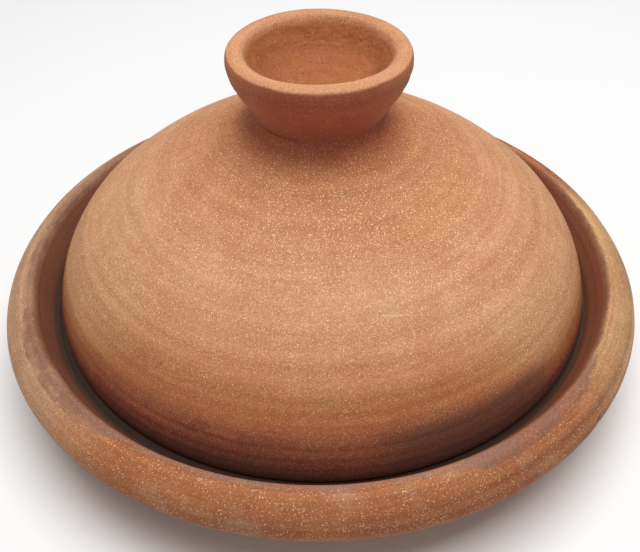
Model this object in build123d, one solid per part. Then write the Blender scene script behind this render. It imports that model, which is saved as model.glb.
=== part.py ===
from build123d import *
from math import cos, radians, sin
import os

# Wheel-thrown clay tagine: a shallow dish, and a domed lid with a cup-shaped knob.
# Everything is turned about +Z. The origin is the middle of the dish's foot, on the table.
# Each piece is drawn as half of its section, in the XZ plane, and revolved.

# Driving dimensions, in millimetres.
FOOT_RADIUS = 103.0
RIM_EDGE_RADIUS = 138.0      # inner edge of the rim
RIM_HEIGHT = 48.0            # the same edge, above the table
ROLL_RADIUS = 8.0            # the round nose of the rolled rim
ROLL_OUT = 6.0               # its centre, outward of the rim's edge
ROLL_DOWN = 13.6             # and below it
LEDGE_DEPTH = 16.6           # the lid's seat, below the rim's edge
LEDGE_OUTER = 129.9
LEDGE_INNER = 115.0
FLOOR_THICKNESS = 9.0
FLOOR_RADIUS = 84.0

LID_RADIUS = 127.2
LID_WALL = 7.5
CROWN_HEIGHT = 76.8          # top of the dome, where the knob is joined, above the rim's edge
NECK_RADIUS = 28.8
NECK_HOLLOW = 6.5            # radius of the hollow curve from dome to neck
SHOULDER_SLOPE = 25.0        # of the dome, where that curve leaves it
CROWN_THICKNESS = 8.5

KNOB_RADIUS = 39.0
KNOB_HEIGHT = 27.8           # from the joint to the lip's crest
CUP_RADIUS = 31.5            # inside of the lip
CUP_DEPTH = 13.5

SOFT_EDGE = 2.0              # corners rounded by the potter's sponge

# Heights worked out from them.
LEDGE_Z = RIM_HEIGHT - LEDGE_DEPTH
CROWN_Z = RIM_HEIGHT + CROWN_HEIGHT
CREST_Z = CROWN_Z + KNOB_HEIGHT


def at(centre, radius, degrees):
    """The point on a circle of the section, by its angle from the outward direction."""
    angle = radians(degrees)
    return (centre[0] + radius * cos(angle), centre[1] + radius * sin(angle))


def turned(face):
    """A half section, drawn as (radius, height), revolved about +Z."""
    return revolve(Plane.XZ * face, Axis.Z)


def base_dish():
    """Shallow thick-walled dish with a rolled rim and a flat ledge for the lid."""
    roll = (RIM_EDGE_RADIUS + ROLL_OUT, RIM_HEIGHT - ROLL_DOWN)
    edge = (RIM_EDGE_RADIUS, RIM_HEIGHT)
    under_roll = 9.0
    tuck = at(roll, ROLL_RADIUS + under_roll, -75)
    wall_top = at(tuck, under_roll, 135)
    foot_corner = (FOOT_RADIUS, 0)
    bowl_top = (LEDGE_INNER, LEDGE_Z)
    floor_edge = (FLOOR_RADIUS, FLOOR_THICKNESS)

    foot = Line((0, 0), foot_corner)
    wall = TangentArc(wall_top, foot_corner, tangent=(-1, -1))
    under = ThreePointArc(wall_top, at(tuck, under_roll, 120), at(tuck, under_roll, 105))
    nose = ThreePointArc(at(roll, ROLL_RADIUS, -75), at(roll, ROLL_RADIUS, -30), at(roll, ROLL_RADIUS, 19))
    rim = TangentArc(nose @ 1, edge, tangent=nose % 1)
    throat = Line(edge, (LEDGE_OUTER, LEDGE_Z))
    ledge = Line(throat @ 1, bowl_top)
    bowl = TangentArc(floor_edge, bowl_top, tangent=(1, 0))
    floor = Line(floor_edge, (0, FLOOR_THICKNESS))
    axis = Line((0, FLOOR_THICKNESS), (0, 0))
    section = make_face([foot, wall, under, nose, rim, throat, ledge, bowl, floor, axis])

    corners = [foot_corner, edge, ledge @ 0, bowl_top]
    soft = [v for v in section.vertices() if near(v, corners)]
    return turned(fillet(soft, SOFT_EDGE))


def near(vertex, points):
    """Whether a vertex of the section is one of these points."""
    return any((vertex.center() - Vector(*point)).length < 0.01 for point in points)


def neck_centre():
    """Centre of the hollow curve from the dome up to the neck."""
    return (NECK_RADIUS + NECK_HOLLOW, CROWN_Z)


def dome_curve():
    """Outside of the lid, from its widest place up to where the neck begins."""
    slope = radians(SHOULDER_SLOPE)
    points = [
        (LID_RADIUS, RIM_HEIGHT - 13.8),
        (124.2, RIM_HEIGHT),
        (112.2, RIM_HEIGHT + 20.7),
        (97.0, RIM_HEIGHT + 34.5),
        (64.6, RIM_HEIGHT + 55.2),
        at(neck_centre(), NECK_HOLLOW, 270 - SHOULDER_SLOPE),
    ]
    return Spline(points, tangents=[(0, 1), (-cos(slope), sin(slope))])


def inside_of(curve, thickness, steps=6):
    """Points that lie a wall's thickness inside an outside curve."""
    points = []
    for step in range(steps + 1):
        place = curve @ (step / steps)
        along = curve % (step / steps)
        points.append((place.X - along.Y * thickness, place.Y + along.X * thickness))
    return points


def lid_dome():
    """Hollow dome whose flat foot ring stands on the ledge, closed by a flat crown."""
    outside = dome_curve()
    foot_outer = (LID_RADIUS - 1.2, LEDGE_Z)
    inner = inside_of(outside, LID_WALL)
    foot_inner = (inner[0][0], LEDGE_Z)
    crown_under = (0, CROWN_Z - CROWN_THICKNESS)

    foot = Line(foot_inner, foot_outer)
    edge = ThreePointArc(foot_outer, (LID_RADIUS - 0.2, LEDGE_Z + 1.2), outside @ 0)
    neck = ThreePointArc(outside @ 1, at(neck_centre(), NECK_HOLLOW, 215), (NECK_RADIUS, CROWN_Z))
    crown = Line(neck @ 1, (0, CROWN_Z))
    axis = Line((0, CROWN_Z), crown_under)
    vault = Spline([crown_under] + inner[::-1], tangents=[(1, 0), (0, -1)])
    skirt = Line(inner[0], foot_inner)
    return turned(make_face([foot, edge, outside, neck, crown, axis, vault, skirt]))


def lid_knob():
    """Thrown cup on a solid neck, the handle of the lid."""
    flare_points = [
        (NECK_RADIUS, CROWN_Z),
        (31.3, CROWN_Z + 6.2),
        (35.6, CROWN_Z + 12.8),
        (38.1, CROWN_Z + 18.5),
        (KNOB_RADIUS, CROWN_Z + 22.6),
    ]
    shoulder = (KNOB_RADIUS - 0.5, CREST_Z - 2.2)
    corner = (KNOB_RADIUS - 1.7, CREST_Z - 0.6)
    crest = (CUP_RADIUS + 3.0, CREST_Z)
    inner_edge = (CUP_RADIUS, CREST_Z - 0.9)
    cup_wall = (CUP_RADIUS - 3.4, CREST_Z - 5.0)
    cup_foot = (CUP_RADIUS - 9.0, CREST_Z - 10.0)
    cup_floor = (0, CREST_Z - CUP_DEPTH)

    joint = Line((0, CROWN_Z), flare_points[0])
    flare = Spline(flare_points, tangents=[(0, 1), (0, 1)])
    lip = Spline([flare_points[-1], shoulder, corner, crest, inner_edge], tangents=[(0, 1), (-0.6, -0.8)])
    cup = Spline([inner_edge, cup_wall, cup_foot, cup_floor], tangents=[(-0.6, -0.8), (-1, 0)])
    axis = Line(cup_floor, (0, CROWN_Z))
    return turned(make_face([joint, flare, lip, cup, axis]))


PARTS = {
    "base_dish": base_dish,
    "lid_dome": lid_dome,
    "lid_knob": lid_knob,
}

os.makedirs("parts", exist_ok=True)
for node, make in PARTS.items():
    solid = make()
    solid.label = node
    export_step(solid, f"parts/{node}.step")
    print(node, round(solid.volume), "mm3", solid.bounding_box())
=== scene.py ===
# %% [markdown]
# # A clay tagine
# A tagine is a shallow dish with a domed lid. Each piece is thrown on a potter's wheel, so each one is
# a shape of revolution that a hand has disturbed a little. The sizes come from the packed frame. This
# script throws the clay again with all that a plain solid lacks: throwing lines, wobble, worn lips,
# mica in the clay, and the dark clouds that the fire left.

# %% Load the frame
from math import ceil, cos, pi, radians, sin

import bpy
import numpy as np
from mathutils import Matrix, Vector, noise


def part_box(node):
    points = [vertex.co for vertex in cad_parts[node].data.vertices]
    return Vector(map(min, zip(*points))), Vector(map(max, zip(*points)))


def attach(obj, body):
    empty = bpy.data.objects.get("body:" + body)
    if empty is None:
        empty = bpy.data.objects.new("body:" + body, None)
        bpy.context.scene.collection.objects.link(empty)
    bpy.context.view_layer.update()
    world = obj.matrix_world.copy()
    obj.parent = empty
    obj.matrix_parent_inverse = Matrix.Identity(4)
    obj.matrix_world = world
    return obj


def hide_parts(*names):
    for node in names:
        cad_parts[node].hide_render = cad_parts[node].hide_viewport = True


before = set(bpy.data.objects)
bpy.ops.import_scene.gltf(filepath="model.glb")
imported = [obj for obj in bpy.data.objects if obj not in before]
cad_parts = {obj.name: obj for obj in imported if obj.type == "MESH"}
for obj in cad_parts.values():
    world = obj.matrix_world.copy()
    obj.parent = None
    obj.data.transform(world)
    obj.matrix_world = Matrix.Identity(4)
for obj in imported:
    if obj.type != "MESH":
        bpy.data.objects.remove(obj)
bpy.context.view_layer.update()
MM = 0.001
_, dish_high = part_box("base_dish")
dome_low, dome_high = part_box("lid_dome")
_, knob_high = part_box("lid_knob")

# %% [markdown]
# ## The outline of a thrown piece
# A potter's section is a half outline, from the axis round the clay and back to the axis. A Screw
# modifier could spin it, but the hand's marks run along the outline and round the wheel, and they need
# to know where on the clay they are. So the outline is drawn here as named strokes, each a line, an arc
# or a smooth curve through a few points, and is spun by a short function. Each stroke says how far
# apart its rings are, and how much of the hand shows there: none where two pieces have to meet.

# %% Strokes
FINE = 0.25 * MM             # spacing of the points that an outline is worked out with


def line(start, end):
    """Points of a straight stroke."""
    return np.array([start, end], float)


def arc(centre, radius, start, end):
    """Points of a round stroke, by its angles in degrees from the outward direction."""
    angles = np.radians(np.linspace(start, end, 40))
    return np.array(centre) + radius * np.column_stack([np.cos(angles), np.sin(angles)])


def curve(*points, start=None, end=None):
    """A smooth stroke through a few points. start and end are its directions there, if they matter."""
    p = np.array(points, float)
    steps = np.linalg.norm(np.diff(p, axis=0), axis=1)
    slopes = np.gradient(p, np.r_[0, np.cumsum(steps)], axis=0)
    if start is not None:
        slopes[0] = np.array(start) / np.linalg.norm(start)
    if end is not None:
        slopes[-1] = np.array(end) / np.linalg.norm(end)
    t = np.linspace(0, 1, 30)[:, None]
    spans = []
    for a, b, m, n, step in zip(p[:-1], p[1:], slopes[:-1], slopes[1:], steps):
        spans.append((2 * t**3 - 3 * t**2 + 1) * a + (t**3 - 2 * t**2 + t) * m * step
                     + (3 * t**2 - 2 * t**3) * b + (t**3 - t**2) * n * step)
    return np.vstack(spans)


def evenly(points, spacing):
    """The same stroke with points one spacing apart."""
    length = np.r_[0, np.cumsum(np.linalg.norm(np.diff(points, axis=0), axis=1))]
    wanted = np.linspace(0, length[-1], max(2, ceil(length[-1] / spacing) + 1))
    return np.column_stack([np.interp(wanted, length, points[:, k]) for k in (0, 1)])


print("points along a 10 mm line:", len(evenly(line((0, 0), (10 * MM, 0)), FINE)))

# %% [markdown]
# ## One outline from many strokes
# Where two strokes meet there is an edge, and wet clay never keeps one: the potter goes over it with a
# sponge. A Bevel modifier rounds edges after the mesh is made. Here the outline is blurred before it is
# spun, which costs no faces. Where two pieces have to meet, the edge is kept crisp.

# %% Join the strokes
SPONGE = 0.9 * MM            # how far a wet sponge rounds an edge


def joined(strokes, crisp=()):
    """One outline from (name, points, ring spacing, liveliness) strokes.

    Edges are sponged round, but not near the points in crisp. Returns the rings as a dict of radius,
    height, outward normal, distance along the outline and liveliness, and each stroke's own distances.
    """
    fine = np.vstack([evenly(points, FINE)[:-1] for _, points, _, _ in strokes] + [strokes[-1][1][-1:]])
    reach = int(3 * SPONGE / FINE)
    weights = np.exp(-0.5 * (np.arange(-reach, reach + 1) * FINE / SPONGE) ** 2)
    weights /= weights.sum()
    padded = np.pad(fine, ((reach, reach), (0, 0)), mode="reflect", reflect_type="odd")
    round_edges = np.column_stack([np.convolve(padded[:, k], weights, "valid") for k in (0, 1)])
    keep = np.zeros(len(fine))
    for point in list(crisp) + [fine[0], fine[-1]]:
        keep = np.maximum(keep, np.exp(-(np.linalg.norm(fine - point, axis=1) / (3 * SPONGE)) ** 4))
    fine = fine * keep[:, None] + round_edges * (1 - keep[:, None])

    length = np.r_[0, np.cumsum(np.linalg.norm(np.diff(fine, axis=0), axis=1))]
    places, lively, spans, first = [], [], {}, 0
    for name, points, spacing, life in strokes:
        last = min(first + len(evenly(points, FINE)) - 1, len(length) - 1)
        count = max(1, ceil((length[last] - length[first]) / spacing))
        places.append(np.linspace(length[first], length[last], count, endpoint=False))
        lively.append(np.full(count, float(life)))
        spans[name] = (length[first], length[last])
        first = last
    along = np.append(np.concatenate(places), length[-1])
    life = np.append(np.concatenate(lively), lively[-1][-1])
    radius, height = (np.interp(along, length, fine[:, k]) for k in (0, 1))
    tangent = np.column_stack([np.gradient(radius, along), np.gradient(height, along)])
    tangent /= np.linalg.norm(tangent, axis=1)[:, None]
    rings = {"radius": radius, "height": height, "along": along, "life": life,
             "out": np.column_stack([tangent[:, 1], -tangent[:, 0]])}
    print("rings:", len(along), "strokes:", ", ".join(spans))
    return rings, spans


# %% [markdown]
# ## Throwing the clay
# `throw` spins the rings. Before it does, the surface is pushed in and out along its own normal by the
# sum of three things: finger grooves that climb in a slow spiral, finer lines from the rib and sponge,
# and whatever a piece needs of its own, such as the rough cup. A Displace modifier could push too, but
# it knows neither the outline nor the wheel. Last, the whole lid is moved a little to one side and goes
# a little out of round. That depends only on where a point is, so the dome and the knob, which are two
# pieces of one lid, still meet exactly.

# %% The marks of the hand
GROOVES, GROOVE_DEPTH = (0.0085, 0.0062, 0.0047), 0.10 * MM      # of the fingers


def waves(seed, along, angle, lengths, depth, turns=2):
    """Grooves of several lengths along the outline, each with a spiral of up to that many turns."""
    rng = np.random.default_rng(seed)
    total = np.zeros(np.broadcast(along, angle).shape)
    for length in lengths:
        climb = rng.integers(-turns, turns + 1)
        phase, swell = rng.uniform(0, 2 * pi, 2)
        groove = np.sin(2 * pi * along / length + climb * angle + phase)
        total += groove * (1 + 0.5 * np.sin(angle * rng.integers(1, 4) + swell + along / 0.03))
    return total * depth / np.sqrt(len(lengths))


def rounds(seed, angle, depth, most=5):
    """Slow swells round the wheel, two to so many of them."""
    rng = np.random.default_rng(seed)
    total = np.zeros_like(angle)
    for count in range(2, most + 1):
        total += np.sin(count * angle + rng.uniform(0, 2 * pi)) / count
    return total * depth


def grain(co, size, seed):
    """Smooth random bumps of about that size, at each point."""
    shift = Vector((seed * 7.3, seed * 3.1, seed * 5.7))
    return np.array([noise.noise(Vector(p) / size + shift) for p in co])


trial = waves(5, np.linspace(0, 12 * MM, 7), 0.0, GROOVES, GROOVE_DEPTH)
print("grooves along a trial strip, in mm:", np.round(trial / MM, 2))

# %% Spin an outline
RIB_LINES, RIB_DEPTH = (0.0031, 0.0024, 0.0019), 0.035 * MM      # of the rib and the sponge
OUT_OF_ROUND = 0.28 * MM


def throw(name, rings, around, seed, marks=None, sway=None):
    """A mesh of one thrown piece, standing on its axis, with its place along the outline kept."""
    angle = np.linspace(0, 2 * pi, around, endpoint=False)[None, :]
    along = rings["along"][:, None]
    push = waves(seed, along, angle, GROOVES, GROOVE_DEPTH)
    push = push + waves(seed + 1, along, angle, RIB_LINES, RIB_DEPTH, turns=1)
    push = push + rounds(seed + 2, angle + along * 9, OUT_OF_ROUND)
    push = push * rings["life"][:, None]
    if marks:
        push = push + marks(rings, angle)
    radius = rings["radius"][:, None] + push * rings["out"][:, :1]
    height = rings["height"][:, None] + push * rings["out"][:, 1:]
    co = np.stack([radius * np.cos(angle), radius * np.sin(angle), height + 0 * angle], -1)
    co[0], co[-1] = co[0].mean(0), co[-1].mean(0)
    if sway:
        co = sway(co)

    count = len(along)
    middle = co[1:-1].reshape(-1, 3)
    verts = np.vstack([co[0, :1], middle, co[-1, :1]])
    here, beside = np.arange(around), np.roll(np.arange(around), -1)
    faces = [(0, 1 + b, 1 + a) for a, b in zip(here, beside)]
    for ring in range(count - 3):
        low, high = 1 + ring * around, 1 + (ring + 1) * around
        faces += [(low + a, low + b, high + b, high + a) for a, b in zip(here, beside)]
    last, end = 1 + (count - 3) * around, len(verts) - 1
    faces += [(last + a, last + b, end) for a, b in zip(here, beside)]

    mesh = bpy.data.meshes.new(name)
    mesh.from_pydata(verts.tolist(), [], faces)
    places = np.r_[along[0, 0], np.repeat(along[1:-1, 0], around), along[-1, 0]]
    mesh.attributes.new("along", "FLOAT", "POINT").data.foreach_set("value", places.astype(np.float32))
    mesh.shade_smooth()
    mesh.set_sharp_from_angle(angle=radians(50))
    piece = bpy.data.objects.new(name, mesh)
    bpy.context.scene.collection.objects.link(piece)
    print(f"{name}: {len(verts)} points, {len(faces)} faces")
    return piece


def bump_at(rings, angle, along, turn, long, wide):
    """How strongly each point feels a touch at one place: 1 there, fading over long and wide."""
    down = (rings["along"][:, None] - along) / long
    off = (angle - radians(turn - 90) + pi) % (2 * pi) - pi
    across = off * np.maximum(rings["radius"][:, None], MM) / wide
    return np.exp(-down**2 - across**2)


# %% [markdown]
# ## The dish
# The dish is one piece of thick clay: a flat foot where the wire cut it from the wheel, a bowl-shaped
# wall, and a heavy rim rolled over and pressed round. Inside the rim the potter turned down a ledge for
# the lid to stand on. Its outline is four lines, three arcs and two curves. A subdivided cylinder would
# look much the same, but an outline keeps the sizes exact where the lid has to fit.

# %% The dish's sizes
ledge_z, dish_radius = dome_low.z, dish_high.x
rim_radius, rim_edge = 138 * MM, ledge_z + 16.6 * MM     # the rim's inner edge
foot_radius = 103 * MM
floor_radius, floor_z = 84 * MM, 9 * MM
ledge_outer, ledge_inner = 129.9 * MM, 115 * MM
nose_radius, under_radius = 8 * MM, 9 * MM               # the rim's round nose, and the hollow under it
nose_start, nose_end = -75, 19                           # in degrees from the outward direction
nose = np.array([dish_radius - nose_radius, rim_edge - 13.6 * MM])
print("rim's edge:", round(rim_edge / MM, 1), "mm up; ledge:", round(ledge_z / MM, 1), "mm up")

# %% The dish's outline
below_nose = np.array([cos(radians(nose_start)), sin(radians(nose_start))])
under_stroke = arc(nose + (nose_radius + under_radius) * below_nose, under_radius, 135, 105)
crest = arc((rim_radius - 2 * MM, rim_edge - 16.36 * MM), 16.5 * MM, nose_end, 83)
rim_stroke = np.vstack([arc(nose, nose_radius, nose_start, nose_end), crest[1:]])
wall_stroke = curve((foot_radius, 0), (124.2 * MM, 10.6 * MM), under_stroke[0], end=(1, 1))
bowl_stroke = curve((ledge_inner, ledge_z), (109.3 * MM, 20 * MM), (98.5 * MM, 12 * MM),
                    (floor_radius, floor_z), start=(-0.33, -1), end=(-1, 0))
dish_rings, dish_spans = joined([
    ("foot", line((0, 0), (foot_radius, 0)), 4 * MM, 0),
    ("wall", wall_stroke, 1.1 * MM, 1),
    ("under", under_stroke, 0.8 * MM, 1),
    ("rim", rim_stroke, 0.7 * MM, 1),
    ("throat", line(rim_stroke[-1], (ledge_outer, ledge_z)), 0.8 * MM, 0.4),
    ("ledge", line((ledge_outer, ledge_z), (ledge_inner, ledge_z)), 1.2 * MM, 0),
    ("bowl", bowl_stroke, 1.1 * MM, 1),
    ("floor", line((floor_radius, floor_z), (0, floor_z)), 2.4 * MM, 1),
])

# %% Throw the dish
CHIP_ALONG, CHIP_TURN = 11.2 * MM, 49     # the bigger chip: its place round the rim, and round the pot


def dish_marks(rings, angle):
    """Two chips on the rim, a pressed place, and a slow rise and fall of its crest."""
    start, end = dish_spans["rim"]
    on_rim = np.exp(-((rings["along"][:, None] - (start + 0.7 * (end - start))) / (9 * MM)) ** 2)
    push = on_rim * rounds(31, angle, 0.45 * MM, most=7)
    chip = bump_at(rings, angle, start + CHIP_ALONG, CHIP_TURN, 2.0 * MM, 2.4 * MM)
    nick = bump_at(rings, angle, start + 0.95 * (end - start), -71, 1.0 * MM, 1.8 * MM)
    press = bump_at(rings, angle, start + 0.6 * (end - start), -28, 9 * MM, 14 * MM)
    return push - chip * 1.3 * MM - nick * 0.5 * MM - press * 0.35 * MM


dish = throw("dish_clay_body", dish_rings, 336, 11, dish_marks)

# %% [markdown]
# ## The lid
# The dome is thrown upside down as a deep bowl, turned over and closed. Its foot is a flat ring. The
# wall leans in slowly at first, turns over a soft shoulder, and climbs nearly straight to the neck. No
# single arc does that, so the outside is a smooth curve through six points, and the inside follows it
# at the thickness of the wall.

# %% The dome's outline
lid_radius, crown_z = 127.2 * MM, dome_high.z
foot_outer, foot_inner = 126 * MM, 119.7 * MM
neck_radius, neck_hollow = 28.8 * MM, 6.5 * MM
neck_stroke = arc((neck_radius + neck_hollow, crown_z), neck_hollow, 180, 245)
outside = curve(neck_stroke[-1], (64.6 * MM, rim_edge + 55.2 * MM), (97.0 * MM, rim_edge + 34.5 * MM),
                (112.2 * MM, rim_edge + 20.7 * MM), (124.2 * MM, rim_edge),
                (lid_radius, rim_edge - 13.8 * MM), start=(0.906, -0.423), end=(0, -1))
inside = curve((foot_inner, ledge_z + 2.8 * MM), (116.9 * MM, rim_edge - 2.5 * MM),
               (105.6 * MM, rim_edge + 16.9 * MM), (91.6 * MM, rim_edge + 29.6 * MM),
               (60.9 * MM, rim_edge + 48.6 * MM), (28 * MM, rim_edge + 64.6 * MM),
               (0, crown_z - 8.5 * MM), start=(-0.05, 1), end=(-1, 0))
seam = (neck_radius, crown_z)
dome_rings, dome_spans = joined([
    ("crown", line((0, crown_z), seam), 6 * MM, 0),
    ("neck", neck_stroke, 0.6 * MM, 0.3),
    ("outside", outside, 0.9 * MM, 0.45),
    ("edge", curve(outside[-1], (126.9 * MM, ledge_z + 1.2 * MM), (foot_outer, ledge_z)), 0.6 * MM, 0.4),
    ("foot", line((foot_outer, ledge_z), (foot_inner, ledge_z)), 1.2 * MM, 0),
    ("skirt", line((foot_inner, ledge_z), inside[0]), 1 * MM, 0.3),
    ("inside", inside, 2.2 * MM, 1),
], crisp=[seam])

# %% Throw the dome
LID_ASIDE = 0.8 * MM         # how far the lid stands off the dish's axis
LID_OVAL = 0.0022            # how far its foot is out of round, as a part of its radius


def lid_sway(co):
    """The lid stands a little to one side in the dish, and is a little out of round at its foot."""
    rise = (co[..., 2] - ledge_z) / (knob_high.z - ledge_z)
    turn = np.arctan2(co[..., 1], co[..., 0])
    swell = 1 + LID_OVAL * np.cos(2 * turn + 0.8) * (1 - rise)
    moved = co.copy()
    moved[..., 0] = co[..., 0] * swell + LID_ASIDE
    moved[..., 1] = co[..., 1] * swell
    return moved


def dome_marks(rings, angle):
    """A thumb-wide hollow and a soft flat on the shoulder."""
    start, end = dome_spans["outside"]
    hollow = bump_at(rings, angle, start + 0.35 * (end - start), -60, 14 * MM, 20 * MM)
    flat = bump_at(rings, angle, start + 0.68 * (end - start), 48, 16 * MM, 26 * MM)
    return -0.35 * MM * hollow - 0.3 * MM * flat


dome = throw("lid_dome_clay", dome_rings, 336, 23, dome_marks, lid_sway)

# %% [markdown]
# ## The knob
# The knob is a little cup, thrown on top of the turned dome. Its outside flares from the neck to a
# thick round lip. Inside it is left rough: nobody smooths what a finger can hardly reach. The lumps are
# real bumps in the mesh, because they show along the lip, where bump in a material would not.

# %% The knob's outline
knob_radius, crest_z = knob_high.x, knob_high.z
cup_radius = 31.5 * MM
lip_start = (knob_radius, crown_z + 22.6 * MM)
flare = curve(seam, (31.3 * MM, crown_z + 6.2 * MM), (35.6 * MM, crown_z + 12.8 * MM),
              (38.1 * MM, crown_z + 18.5 * MM), lip_start, start=(0, 1), end=(0, 1))
lip_corner = (38.1 * MM, crest_z - 0.9 * MM)
lip = curve(lip_start, (38.8 * MM, crest_z - 2.6 * MM), lip_corner, (36.6 * MM, crest_z - 0.15 * MM),
            (34.5 * MM, crest_z), (cup_radius, crest_z - 0.9 * MM), start=(0, 1), end=(-0.6, -0.8))
cup = curve((cup_radius, crest_z - 0.9 * MM), (28.1 * MM, crest_z - 5 * MM),
            (22.5 * MM, crest_z - 10 * MM), (12 * MM, crest_z - 13 * MM), (0, crest_z - 13.5 * MM),
            start=(-0.6, -0.8), end=(-1, 0))
knob_rings, knob_spans = joined([
    ("joint", line((0, crown_z), seam), 6 * MM, 0),
    ("flare", flare, 0.6 * MM, 0.7),
    ("lip", lip, 0.35 * MM, 0.7),
    ("cup", cup, 0.45 * MM, 0.3),
], crisp=[seam, lip_corner])

# %% Throw the knob
def knob_marks(rings, angle):
    """Rough clay in the cup, small pits along the lip, and a lip that isn't quite level."""
    along = rings["along"][:, None]
    off_seam = np.clip((along - knob_spans["flare"][0]) / (5 * MM), 0, 1)
    on_lip = np.clip((along - knob_spans["flare"][1]) / (4 * MM), 0, 1)
    in_cup = np.clip((along - knob_spans["cup"][0]) / (6 * MM), 0, 1)
    co = np.stack([rings["radius"][:, None] * np.cos(angle), rings["radius"][:, None] * np.sin(angle),
                   rings["height"][:, None] + 0 * angle], -1)
    flat = co.reshape(-1, 3)
    lumps = grain(flat, 5 * MM, 1) * 0.34 + grain(flat, 2.1 * MM, 2) * 0.22
    lumps = lumps + grain(flat, 1.1 * MM, 4) * 0.12
    pits = np.clip(grain(flat, 1.3 * MM, 3) - 0.32, 0, 1) * 1.1
    rough = (lumps.reshape(co.shape[:2]) * (0.12 + 0.88 * in_cup)
             - pits.reshape(co.shape[:2]) * (0.35 + 0.65 * in_cup)) * MM
    return (rough + rounds(43, angle, 0.35 * MM, most=4) * on_lip) * off_seam


knob = throw("lid_knob_cup", knob_rings, 256, 37, knob_marks, lid_sway)

# %% [markdown]
# ## Each piece stands for its solid
# The frame moves bodies, not pieces, so each piece is put on the body it rides on, and the plain solid
# that it stands for is hidden.

# %% Say what rides on what
for piece, body, node, slot in ((dish, "dish", "base_dish", "dish_clay"),
                                (dome, "lid", "lid_dome", "lid_clay"),
                                (knob, "lid", "lid_knob", "knob_clay")):
    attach(piece, body)
    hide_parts(node)
    print(piece.name, "rides on", body)

# %% [markdown]
# ## A short way to write nodes
# A finish is a small sum: where am I on the clay, what is there, and how does that change the colour,
# the roughness and the height. The nodes could be joined by hand in the Shader Editor, but a sum of
# forty is hard to read there. `Recipe` adds one node for each term and joins it up, so that a finish can
# be read from top to bottom like the sum that it is.

# %% Recipe
class Recipe:
    """Adds nodes to one tree, and joins them as it goes."""

    def __init__(self, tree):
        self.tree = tree

    def node(self, kind, inputs=None, out=0, **settings):
        """One new node; returns one of its outputs."""
        made = self.tree.nodes.new("ShaderNode" + kind)
        for key, value in settings.items():
            setattr(made, key, value)
        for key, value in (inputs or {}).items():
            self.feed(made.inputs[key], value)
        return made.outputs[out]

    def feed(self, socket, value):
        """Gives a socket a constant, or joins another socket to it."""
        if isinstance(value, bpy.types.NodeSocket):
            self.tree.links.new(value, socket)
        else:
            socket.default_value = value

    def sum(self, operation, a, b=0.0, clamp=False):
        return self.node("Math", {0: a, 1: b}, operation=operation, use_clamp=clamp)

    def times_plus(self, a, b, c):
        return self.node("Math", {0: a, 1: b, 2: c}, operation="MULTIPLY_ADD")

    def mix(self, amount, a, b, blend="MIX"):
        return self.node("Mix", {0: amount, 6: a, 7: b}, out=2, data_type="RGBA", blend_type=blend)

    def fade(self, value, low, high, start=0.0, end=1.0):
        """start below low, end above high, and a smooth change between."""
        return self.node("MapRange", {0: value, 1: low, 2: high, 3: start, 4: end},
                         interpolation_type="SMOOTHSTEP")

    def noise(self, place, scale, detail=2.0, rough=0.5, twist=0.0):
        return self.node("TexNoise", {"Vector": place, "Scale": scale, "Detail": detail,
                                      "Roughness": rough, "Distortion": twist})

    def ramp(self, value, stops):
        """A colour for each place on the way from 0 to 1."""
        made = self.tree.nodes.new("ShaderNodeValToRGB")
        band = made.color_ramp
        while len(band.elements) < len(stops):
            band.elements.new(0.5)
        for element, (place, colour) in zip(band.elements, stops):
            element.position, element.color = place, colour
        self.feed(made.inputs[0], value)
        return made.outputs[0]

    def off_line(self, place, start, end):
        """How far the point is from a straight line between two points."""
        start, end = Vector(start), Vector(end)
        run = end - start
        off = self.node("VectorMath", {0: place, 1: start}, operation="SUBTRACT")
        part = self.node("VectorMath", {0: off, 1: run / run.length_squared}, out="Value",
                         operation="DOT_PRODUCT")
        part = self.sum("MULTIPLY", part, 1.0, clamp=True)
        foot = self.node("VectorMath", {0: run, "Scale": part}, operation="SCALE")
        return self.node("VectorMath", {0: off, 1: foot}, out="Value", operation="DISTANCE")

    def axis_place(self):
        """Where the point is in the frame: its place, its height, and its direction from the axis."""
        place = self.node("TexCoord", out="Object")
        split = self.tree.nodes.new("ShaderNodeSeparateXYZ")
        self.feed(split.inputs[0], place)
        x, y, z = split.outputs
        flat = self.node("CombineXYZ", {0: x, 1: y, 2: 0.0})
        bearing = self.node("VectorMath", {0: flat}, operation="NORMALIZE")
        return place, z, bearing


print("steps of a recipe:", ", ".join(name for name in vars(Recipe) if not name.startswith("_")))

# %% [markdown]
# ## Effects and colours
# All three clays share the same mica, wheel lines and earthenware. The nodes could be copied into each
# material, but then a change would have to be made three times. An effect is a node group instead,
# built once and placed in each material with its own values.

# %% Effects and colours
def effect(name, inputs, outputs):
    """A shader node group with named sockets: inputs maps names to defaults, outputs lists names."""
    tree = bpy.data.node_groups.new(name, "ShaderNodeTree")
    for key, value in inputs.items():
        kind = "NodeSocketColor" if isinstance(value, tuple) else "NodeSocketFloat"
        tree.interface.new_socket(key, in_out="INPUT", socket_type=kind).default_value = value
    for key in outputs:
        kind = "NodeSocketColor" if key == "Color" else "NodeSocketFloat"
        tree.interface.new_socket(key, in_out="OUTPUT", socket_type=kind)
    return tree, Recipe(tree), tree.nodes.new("NodeGroupInput"), tree.nodes.new("NodeGroupOutput")


def placed(recipe, group, **values):
    """Puts an effect into another tree with its own values; returns its outputs by name."""
    made = recipe.tree.nodes.new("ShaderNodeGroup")
    made.node_tree = group
    for key, value in values.items():
        recipe.feed(made.inputs[key.replace("_", " ")], value)
    return made.outputs


def tint(red, green, blue):
    """A solid colour as a painter names it, 0 to 255, in the linear values that shaders use."""
    levels = np.array([red, green, blue]) / 255
    linear = np.where(levels <= 0.04045, levels / 12.92, ((levels + 0.055) / 1.055) ** 2.4)
    return (*linear, 1)


print("fired orange in linear values:", np.round(tint(174, 104, 63), 3))

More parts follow.
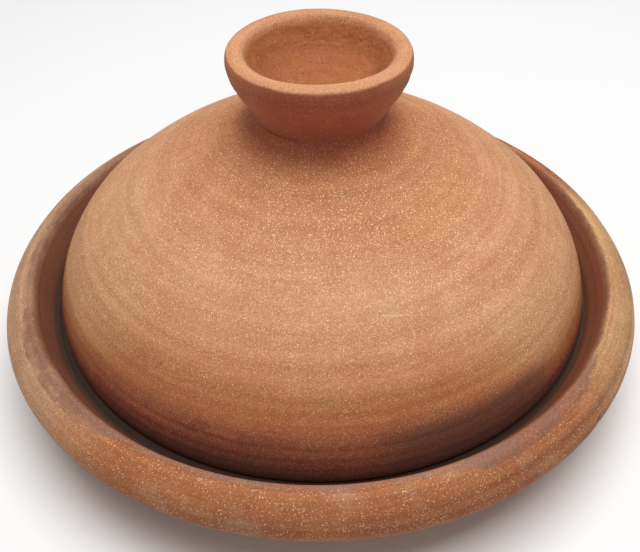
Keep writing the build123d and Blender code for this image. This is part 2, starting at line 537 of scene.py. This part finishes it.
# %% [markdown]
# ## Mica in the clay
# The clay is full of mica: thin flakes, each under a millimetre across, that lie in the surface and
# catch the light. Random cells give each flake a place and a size. Only some cells hold one. A cell's
# distance, cut off at a radius, is a clean little disc, which noise can't give.

# %% The mica effect
mica, recipe, given, result = effect("Mica flakes", {"Amount": 0.5, "Spacing": 0.00095},
                                     ["Flake", "Dust"])


def flakes(recipe, place, spacing, amount, least, most):
    """Discs between two sizes, as parts of a cell, in some of the cells."""
    cells = recipe.tree.nodes.new("ShaderNodeTexVoronoi")
    recipe.feed(cells.inputs["Vector"], place)
    recipe.feed(cells.inputs["Scale"], recipe.sum("DIVIDE", 1.0, spacing))
    split = recipe.tree.nodes.new("ShaderNodeSeparateColor")
    recipe.feed(split.inputs[0], cells.outputs["Color"])
    size = recipe.fade(split.outputs[0], 0.0, 1.0, least, most)
    disc = recipe.sum("LESS_THAN", cells.outputs["Distance"], size)
    held = recipe.sum("LESS_THAN", split.outputs[1], amount)
    bright = recipe.times_plus(split.outputs[2], 0.75, 0.25)
    return recipe.sum("MULTIPLY", recipe.sum("MULTIPLY", disc, held), bright)


place = recipe.node("TexCoord", out="Object")
drift = recipe.fade(recipe.noise(place, 130, detail=3, rough=0.6), 0.3, 0.7, 0.5, 1.3)
amount = recipe.sum("MULTIPLY", given.outputs["Amount"], drift)
flake = flakes(recipe, place, given.outputs["Spacing"], amount, 0.12, 0.30)
dust = flakes(recipe, place, recipe.sum("MULTIPLY", given.outputs["Spacing"], 0.62), amount, 0.2, 0.42)
recipe.feed(result.inputs["Flake"], flake)
recipe.feed(result.inputs["Dust"], dust)
print("mica:", len(mica.nodes), "nodes")

# %% [markdown]
# ## Lines from the wheel
# Fingers and ribs leave lines that run round the pot. A noise that is stretched along them would do on
# a flat board. Here it is read by the distance along the outline, with only a little of the direction
# round the axis, so the lines follow the form, wander a little, and never show a join.

# %% The wheel line effect
wheel, recipe, given, result = effect("Wheel lines", {"Spacing": 0.004, "Wander": 0.5}, ["Line", "Band"])
along = recipe.node("Attribute", out="Fac", attribute_name="along")
bearing = recipe.axis_place()[2]
wander = recipe.node("VectorMath", {0: bearing, "Scale": given.outputs["Wander"]}, operation="SCALE")
step = recipe.sum("DIVIDE", along, given.outputs["Spacing"])
steps = recipe.node("CombineXYZ", {0: 0.0, 1: 0.0, 2: step})
round_pot = recipe.node("VectorMath", {0: steps, 1: wander}, operation="ADD")
recipe.feed(result.inputs["Line"], recipe.noise(round_pot, 1.0, detail=4, rough=0.62))
recipe.feed(result.inputs["Band"], recipe.noise(round_pot, 0.16, detail=2, rough=0.5))
print("wheel lines:", len(wheel.nodes), "nodes")

# %% [markdown]
# ## Earthenware
# This is the bare clay that all three pieces share: two tones that drift into each other in patches,
# lines and bands from the wheel, grit, pores, and mica over everything. Its colour, roughness and height
# come out of the group, and the shader itself stays in each material, where it can be exported.

# %% The earthenware's tones
earthenware, recipe, given, result = effect(
    "Earthenware",
    {"Pale": (0.6, 0.33, 0.19, 1), "Deep": (0.46, 0.2, 0.09, 1), "Stain": (0.1, 0.05, 0.03, 1),
     "Stained": 0.0, "Mica": 0.5, "Glint": 0.9, "Lines": 0.5, "Tooth": 0.5},
    ["Color", "Roughness", "Height"])
place = recipe.node("TexCoord", out="Object")
lines = placed(recipe, wheel)
broad = recipe.noise(place, 16, detail=3, rough=0.6, twist=0.4)
cloud = recipe.noise(place, 90, detail=5, rough=0.68)
grit = recipe.noise(place, 1500, detail=2, rough=0.7)
tone = recipe.sum("ADD", recipe.times_plus(broad, 1.5, -0.75), recipe.times_plus(cloud, 1.3, -0.65))
tone = recipe.sum("ADD", tone, recipe.times_plus(lines["Band"], 0.45, -0.22))
streak = recipe.sum("MULTIPLY", recipe.times_plus(lines["Line"], 1.6, -0.8), given.outputs["Lines"])
tone = recipe.sum("ADD", recipe.sum("ADD", tone, 0.5), streak, clamp=True)
bare = recipe.mix(tone, given.outputs["Deep"], given.outputs["Pale"])
bare = recipe.mix(given.outputs["Stained"], bare, given.outputs["Stain"])
shade = recipe.fade(recipe.times_plus(streak, 0.5, grit), 0.25, 0.75, 0.74, 1.2)
bare = recipe.node("VectorMath", {0: bare, "Scale": shade}, operation="SCALE")
print("tones of the earthenware:", len(earthenware.nodes), "nodes")

# %% Mica and pores over the tones
sparkle = placed(recipe, mica, Amount=given.outputs["Mica"])
speck = recipe.sum("MAXIMUM", sparkle["Flake"], recipe.sum("MULTIPLY", sparkle["Dust"], 0.7))
hidden = recipe.sum("MULTIPLY", given.outputs["Stained"], 0.55)
speck = recipe.sum("MULTIPLY", speck, recipe.sum("SUBTRACT", given.outputs["Glint"], hidden), clamp=True)
bright = recipe.mix(speck, bare, tint(255, 222, 174))
pores = recipe.node("TexVoronoi", {"Vector": place, "Scale": 620.0}, out="Distance")
pit = recipe.sum("MULTIPLY", recipe.fade(pores, 0.10, 0.20, 1.0, 0.0), given.outputs["Tooth"])
pitted = recipe.mix(recipe.sum("MULTIPLY", pit, 0.5), bright, tint(96, 52, 34))
recipe.feed(result.inputs["Color"], pitted)
print("with mica and pores:", len(earthenware.nodes), "nodes")

# %% The earthenware's roughness and relief
dull = recipe.times_plus(grit, 0.2, 0.7)
recipe.feed(result.inputs["Roughness"], recipe.sum("SUBTRACT", dull, recipe.sum("MULTIPLY", speck, 0.4)))
tooth = recipe.sum("SUBTRACT", recipe.sum("MULTIPLY", grit, given.outputs["Tooth"]), pit)
height = recipe.sum("ADD", tooth, recipe.sum("MULTIPLY", lines["Line"], given.outputs["Lines"]))
recipe.feed(result.inputs["Height"], height)
print("effects:", [group.name for group in bpy.data.node_groups])

# %% [markdown]
# ## Smoke from the fire
# These pots are fired in the open, and again on charcoal in use. Where air is short, the clay goes
# from orange through red to near black. On the lid that is the band just above the dish, with a big
# dark cloud at one side. It could be a painted image, but an image needs a flat map of the dome. Here
# the band is a height above the foot, made uneven, and turned into colour.

# %% What every material needs
def finish(name):
    """A new material, its recipe and its shader."""
    material = bpy.data.materials.new(name)
    material.use_nodes = True
    shader = material.node_tree.nodes["Principled BSDF"]
    return material, Recipe(material.node_tree), shader


def toward(recipe, bearing, turn, near, far):
    """1 within near degrees of a direction round the pot, 0 beyond far. turn is rightwards of front."""
    ahead = (sin(radians(turn)), -cos(radians(turn)), 0)
    along = recipe.node("VectorMath", {0: bearing, 1: ahead}, out="Value", operation="DOT_PRODUCT")
    return recipe.fade(along, cos(radians(far)), cos(radians(near)))


def bumped(recipe, shader, height, strength, depth):
    """Feeds a height to the shader as small relief, in metres."""
    recipe.feed(shader.inputs["Normal"], recipe.node("Bump", {"Height": height, "Strength": strength,
                                                              "Distance": depth}))


print("one degree round the rim is", round(radians(1) * dish_radius / MM, 1), "mm")


# %% Smoke on the lid
def smoke(recipe):
    """The fire's band above the lid's foot: higher in front, with a dark cloud to one side.

    Returns its colour, how much it covers, and how clean the clay is of soot.
    """
    place, z, bearing = recipe.axis_place()
    along = recipe.node("Attribute", out="Fac", attribute_name="along")
    rise = recipe.sum("SUBTRACT", z, ledge_z + 4 * MM)
    reach = recipe.fade(toward(recipe, bearing, -6, 5, 64), 0.0, 1.0, 18 * MM, 37 * MM)
    uneven = recipe.times_plus(recipe.noise(place, 30, detail=6, rough=0.65), 0.5, -0.25)
    streak = recipe.times_plus(placed(recipe, wheel)["Line"], 0.24, -0.12)
    gritty = recipe.times_plus(recipe.noise(place, 420, detail=3, rough=0.7), 0.36, -0.18)
    burn = recipe.sum("ADD", recipe.sum("DIVIDE", rise, reach), recipe.sum("ADD", uneven, gritty))
    burn = recipe.sum("ADD", burn, streak)
    scorch = recipe.ramp(burn, [(0.0, tint(108, 70, 56)), (0.10, tint(120, 69, 54)),
                                (0.20, tint(132, 69, 52)), (0.33, tint(144, 78, 54)),
                                (0.46, tint(166, 94, 60)), (0.66, tint(174, 104, 63)),
                                (0.90, tint(186, 120, 76))])
    cloud_top = recipe.times_plus(recipe.sum("ADD", uneven, gritty), 14 * MM, 20 * MM)
    cloud = recipe.sum("MULTIPLY", toward(recipe, bearing, 30, 8, 23),
                       recipe.fade(recipe.sum("SUBTRACT", rise, cloud_top), -5 * MM, 1.5 * MM, 0.8, 0.0))
    stain = recipe.mix(cloud, scorch, tint(108, 68, 53))
    outer = recipe.fade(along, dome_spans["skirt"][0], dome_spans["skirt"][1], 1.0, 0.0)
    stained = recipe.sum("MAXIMUM", cloud, recipe.fade(burn, 0.55, 1.6, 1.0, 0.0))
    clean = recipe.fade(burn, 0.0, 0.4, 0.8, 1.0)
    clean = recipe.sum("MULTIPLY", clean, recipe.times_plus(cloud, -0.3, 1.0))
    return stain, recipe.sum("MULTIPLY", stained, outer), clean


# %% [markdown]
# ## The lid's clay
# Under the smoke the clay is palest on the shoulder, and redder and darker towards the knob: partly
# redder clay, partly painted shade where the knob shades the dome. One ramp, read by height, gives the
# pale tone, and the deep one is the same colour multiplied. Something pale once scraped the lid and left
# a chalky scuff. It could be a decal on a piece of its own, but it has no thickness, so it is drawn as
# the distance from three short lines on the dome.

# %% Lid clay
lid_clay, recipe, shader = finish("lid_clay")
place, z = recipe.axis_place()[:2]
climb = recipe.sum("DIVIDE", recipe.sum("SUBTRACT", z, ledge_z), crown_z - ledge_z)
# The last two stops, by the knob, are redder clay and painted shade under the knob together.
pale = recipe.ramp(climb, [(0.0, tint(194, 139, 92)), (0.62, tint(213, 159, 118)),
                           (0.78, tint(200, 142, 100)), (0.88, tint(201, 139, 96)),
                           (0.94, tint(198, 119, 80)), (1.0, tint(168, 82, 57))])
deep = recipe.mix(1.0, pale, (0.81, 0.68, 0.61, 1), blend="MULTIPLY")
stain, stained, clean = smoke(recipe)
glint = recipe.sum("MULTIPLY", clean, recipe.fade(z, crown_z - 12 * MM, crown_z, 0.9, 0.35))
clay = placed(recipe, earthenware, Pale=pale, Deep=deep, Stain=stain, Stained=stained,
              Mica=0.75, Glint=glint, Lines=0.4, Tooth=0.3)
print("lid clay:", len(lid_clay.node_tree.nodes), "nodes")

# %% The scuff, and the lid's shader
SCUFF = ((15, 38), (20, 37), (21, 32), (19, 28))     # degrees right of front, mm above the rim's edge


def on_dome(turn, z):
    """A point on the dome's outside, by its direction and its height."""
    radius = np.interp(z, outside[::-1, 1], outside[::-1, 0])
    return Vector((radius * sin(radians(turn)), -radius * cos(radians(turn)), z))


scuff = [on_dome(turn, rim_edge + above * MM) for turn, above in SCUFF]
off = recipe.off_line(place, scuff[0], scuff[1])
for start, end in zip(scuff[1:-1], scuff[2:]):
    off = recipe.sum("MINIMUM", off, recipe.off_line(place, start, end))
wobbly = recipe.times_plus(recipe.noise(place, 300, detail=3, rough=0.7), 2.2 * MM, -1.1 * MM)
chalk = recipe.fade(recipe.sum("ADD", off, wobbly), -0.3 * MM, 0.7 * MM, 0.45, 0.0)
colour = recipe.mix(chalk, clay["Color"], tint(236, 200, 166))
recipe.feed(shader.inputs["Base Color"], colour)
recipe.feed(shader.inputs["Roughness"], clay["Roughness"])
shader.inputs["Specular IOR Level"].default_value = 0.3
bumped(recipe, shader, clay["Height"], 0.5, 0.25 * MM)
dome.data.materials.append(lid_clay)
print("scuff's corners, in mm:", [tuple(round(value / MM, 1) for value in point) for point in scuff])

# %% [markdown]
# ## The knob's clay
# Hands have worn the lip pale, and only there do many flecks of mica show. The cup is browner and
# rougher. The outside is dark red at the front and back and low down by the neck: partly redder clay,
# partly painted shade under the lip. Its two sides are paler. Three materials could share the knob's
# faces, but their borders would follow the rings. Masks along the outline, moved a little by noise,
# wander as wear does.

# %% Knob clay
knob_clay, recipe, shader = finish("knob_clay")
place, z, bearing = recipe.axis_place()
along = recipe.node("Attribute", out="Fac", attribute_name="along")
patchy = recipe.noise(place, 60, detail=4, rough=0.6)
lip_first, lip_last = knob_spans["lip"]
worn = recipe.fade(recipe.times_plus(patchy, 2 * MM, along), lip_first + 4.6 * MM, lip_first + 6.0 * MM)
in_cup = recipe.fade(recipe.times_plus(patchy, 4 * MM, along), lip_last + 1 * MM, lip_last + 6 * MM)
# The dark red at the front, back and bottom of the flare is partly painted shade under the lip; the
# sides are paler.
side = recipe.sum("MAXIMUM", toward(recipe, bearing, 95, 10, 75), toward(recipe, bearing, -95, 10, 75))
low = recipe.fade(z, crown_z, crown_z + 8 * MM, 0.2, 0.8)
flank_with_painted_shade = recipe.mix(recipe.sum("MULTIPLY", side, low), tint(154, 70, 46), tint(184, 116, 74))
stain = recipe.mix(worn, flank_with_painted_shade, recipe.mix(patchy, tint(192, 130, 90), tint(226, 169, 127)))
stain = recipe.mix(in_cup, stain, recipe.mix(patchy, tint(130, 66, 31), tint(174, 102, 50)))
flecks = recipe.sum("MULTIPLY", recipe.sum("SUBTRACT", worn, in_cup), 0.5)
clay = placed(recipe, earthenware, Pale=tint(196, 134, 92), Deep=tint(128, 58, 38), Stain=stain,
              Stained=0.75, Mica=recipe.sum("ADD", flecks, 0.1), Glint=0.75, Lines=0.3, Tooth=0.5)
shader.inputs["Specular IOR Level"].default_value = 0.3
recipe.feed(shader.inputs["Base Color"], clay["Color"])
recipe.feed(shader.inputs["Roughness"], clay["Roughness"])
bumped(recipe, shader, clay["Height"], 0.8, 0.3 * MM)
knob.data.materials.append(knob_clay)
print("knob clay:", len(knob_clay.node_tree.nodes), "nodes")

# %% [markdown]
# ## Slip inside the dish
# Before firing, the potter brushed a dark red slip over the inside of the dish, up across the rim's
# inner edge, and rubbed it with a stone until it shone a little. Its edge wanders where the brush went
# round. The slip could be a second mesh over the clay, but it is too thin to show a step. So it is a
# mask along the outline. On the rim the slip is greyer, which is its own colour with a painted sheen.
# The ledge and the foot of the throat beside the lid are painted near black, as painted shade in the
# gap under the lid, and the bigger chip is darker. The rest is bare clay, paler at the sides, where the
# fire was hottest.

# %% The dish's bare clay
dish_clay, recipe, shader = finish("dish_clay")
place, z, bearing = recipe.axis_place()
along = recipe.node("Attribute", out="Fac", attribute_name="along")
smear = recipe.noise(place, 26, detail=5, rough=0.6)
side = recipe.sum("MAXIMUM", toward(recipe, bearing, 80, 12, 38), toward(recipe, bearing, -87, 22, 55))
side = recipe.sum("MULTIPLY", side, recipe.fade(smear, 0.25, 0.6, 0.55, 1.0))
ochre = recipe.fade(recipe.noise(place, 34, detail=4, rough=0.55), 0.5, 0.68, 0.0, 0.5)
bleach = recipe.sum("MAXIMUM", side, ochre)
bleach = recipe.sum("MULTIPLY", bleach, recipe.fade(z, 16 * MM, 31 * MM, 0.12, 1.0))
right = toward(recipe, bearing, 95, 20, 70)
ashen = recipe.mix(right, tint(188, 148, 114), tint(202, 158, 110))
pale = recipe.mix(bleach, tint(172, 108, 68), ashen)
deep = recipe.mix(1.0, ashen, (0.78, 0.73, 0.68, 1), blend="MULTIPLY")
deep = recipe.mix(bleach, tint(150, 85, 50), deep)
print("bare clay of the dish:", len(dish_clay.node_tree.nodes), "nodes")

# %% Where the slip is
blotch = recipe.sum("MAXIMUM", toward(recipe, bearing, 38, 4, 22), toward(recipe, bearing, -54, 6, 22))
slip_edge = recipe.times_plus(blotch, -5.0 * MM, dish_spans["rim"][1] - 2.0 * MM)
slip_edge = recipe.times_plus(right, 2.2 * MM, slip_edge)
ragged = recipe.times_plus(recipe.noise(place, 55, detail=6, rough=0.68), 9 * MM, -4.5 * MM)
past = recipe.sum("SUBTRACT", recipe.sum("SUBTRACT", along, slip_edge), ragged)
slip_mask = recipe.fade(past, -0.8 * MM, 0.8 * MM, 0.0, 0.92)
inner = recipe.fade(along, dish_spans["throat"][0], dish_spans["throat"][0] + 5 * MM)
rubbed = recipe.fade(recipe.noise(place, 90, detail=5, rough=0.65), 0.38, 0.58, 0.4, 0.92)
slip_mask = recipe.sum("MULTIPLY", slip_mask, recipe.sum("MAXIMUM", rubbed, inner))
print("the slip starts", round((dish_spans["rim"][1] - 2.0 * MM) / MM, 1), "mm along the outline")

# %% The slip's colour, and the painted shade in the gap
brushed = recipe.mix(right, tint(102, 61, 46), tint(138, 70, 49))
slip_colour = recipe.mix(smear, brushed, tint(138, 82, 60))
# On the rim the slip is greyer: its own colour with a painted sheen from the light above.
on_rim = recipe.mix(blotch, tint(144, 103, 84), tint(132, 90, 71))
slip_colour = recipe.mix(inner, on_rim, slip_colour)
# Painted shade in the gap under the lid: the foot of the throat and the ledge go near black.
painted_gap_shade = recipe.fade(along, dish_spans["throat"][1] - 5.5 * MM, dish_spans["throat"][1] + 1.5 * MM)
painted_gap_shade = recipe.sum("MULTIPLY", painted_gap_shade, recipe.fade(along, *dish_spans["ledge"], 1.0, 0.3))
slip_colour = recipe.mix(painted_gap_shade, slip_colour, tint(38, 26, 16))
slip_mask = recipe.sum("MAXIMUM", slip_mask, painted_gap_shade)
clay = placed(recipe, earthenware, Pale=pale, Deep=deep, Stain=slip_colour, Stained=slip_mask,
              Mica=recipe.times_plus(inner, -0.5, 0.55), Glint=recipe.times_plus(inner, -0.15, 0.62),
              Lines=recipe.times_plus(inner, -0.6, 0.9), Tooth=recipe.times_plus(inner, -0.35, 0.65))
print("with slip and soot:", len(dish_clay.node_tree.nodes), "nodes")

# %% The dark chip, and the dish's shader
chip_radius, chip_z = dish_radius - 0.6 * MM, nose[1] + 0.7 * MM
chip = [chip_radius * sin(radians(CHIP_TURN)), -chip_radius * cos(radians(CHIP_TURN)), chip_z]
chipped = recipe.node("VectorMath", {0: place, 1: chip}, out="Value", operation="DISTANCE")
chipped = recipe.times_plus(recipe.noise(place, 700), 1.6 * MM, chipped)
# Darker round the bigger chip.
darker_at_chip = recipe.fade(chipped, 1.6 * MM, 3.0 * MM, 0.85, 0.0)
colour = recipe.mix(darker_at_chip, clay["Color"], tint(66, 46, 34))
shader.inputs["Specular IOR Level"].default_value = 0.35
recipe.feed(shader.inputs["Base Color"], colour)
polish = recipe.sum("SUBTRACT", recipe.sum("MULTIPLY", slip_mask, 0.3), recipe.sum("MULTIPLY", painted_gap_shade, 0.3))
recipe.feed(shader.inputs["Roughness"], recipe.sum("SUBTRACT", clay["Roughness"], polish))
bumped(recipe, shader, clay["Height"], 0.45, 0.25 * MM)
dish.data.materials.append(dish_clay)
print("the chip is", round(chip_z / MM, 1), "mm up, at", CHIP_TURN, "degrees")

# %% [markdown]
# ## The studio
# A pale floor, a big soft light overhead, a weaker one in front, and a dim white room. An image of a
# real studio could light it too, but two plain lights are easy to change. The clay's colours are picked
# for plain light, so the picture is shown without a film-like curve.

# %% Floor
FLOOR_HALF = 4.0             # metres from the pot to each side of the floor
floor_mesh = bpy.data.meshes.new("floor")
floor_mesh.from_pydata([(-FLOOR_HALF, -FLOOR_HALF, 0), (FLOOR_HALF, -FLOOR_HALF, 0),
                        (FLOOR_HALF, FLOOR_HALF, 0), (-FLOOR_HALF, FLOOR_HALF, 0)], [], [(0, 1, 2, 3)])
floor = bpy.data.objects.new("floor", floor_mesh)
bpy.context.scene.collection.objects.link(floor)
floor_paint, _, shader = finish("floor_paint")
shader.inputs["Base Color"].default_value = (0.86, 0.86, 0.86, 1)
shader.inputs["Roughness"].default_value = 0.9
floor_mesh.materials.append(floor_paint)
print("floor:", 2 * FLOOR_HALF, "m wide")

# %% Lights
OVERHEAD_POWER, FRONT_POWER = 26, 1.5                    # in watts
ROOM_STRENGTH = 0.22


def soft_light(name, place, aim, size, power):
    """A square area light that faces a point."""
    lamp = bpy.data.lights.new(name, "AREA")
    lamp.size, lamp.energy = size, power
    made = bpy.data.objects.new(name, lamp)
    made.location = place
    made.rotation_euler = (Vector(aim) - Vector(place)).to_track_quat("-Z", "Y").to_euler()
    bpy.context.scene.collection.objects.link(made)
    print(f"{name}: {size} m wide, {power} W")


middle = (0, 0, 0.06)
soft_light("overhead", (0.1, 0.05, 1.5), middle, 1.3, OVERHEAD_POWER)
soft_light("front_fill", (-0.5, -1.5, 0.9), middle, 1.0, FRONT_POWER)
room = bpy.data.worlds.new("room")
room.use_nodes = True
room.node_tree.nodes["Background"].inputs["Color"].default_value = (1, 1, 1, 1)
room.node_tree.nodes["Background"].inputs["Strength"].default_value = ROOM_STRENGTH
bpy.context.scene.world = room
bpy.context.scene.view_settings.view_transform = "Standard"

# %% [markdown]
# ## The camera
# It stands close, and looks down at the pot as someone at the table would. A long lens from far away
# could take in the same pot, but the knob would look smaller beside the dish. The small roll is that of
# a camera held by hand.

# %% Camera
LOOK_DOWN, ROLL = 41.65, -0.72                           # in degrees
CAMERA_BACK, CAMERA_UP = 0.306, 0.2515                   # from the axis, and above the rim's edge
lens = bpy.data.cameras.new("camera")
lens.sensor_width, lens.lens = 36, 45.03
camera = bpy.data.objects.new("camera", lens)
camera.location = (0, -CAMERA_BACK, rim_edge + CAMERA_UP)
camera.rotation_mode = "ZYX"
camera.rotation_euler = (radians(90 - LOOK_DOWN), 0, radians(ROLL))
bpy.context.scene.collection.objects.link(camera)
bpy.context.scene.camera = camera
print("camera:", round(lens.lens, 1), "mm lens,", LOOK_DOWN, "degrees down")

# %% [markdown]
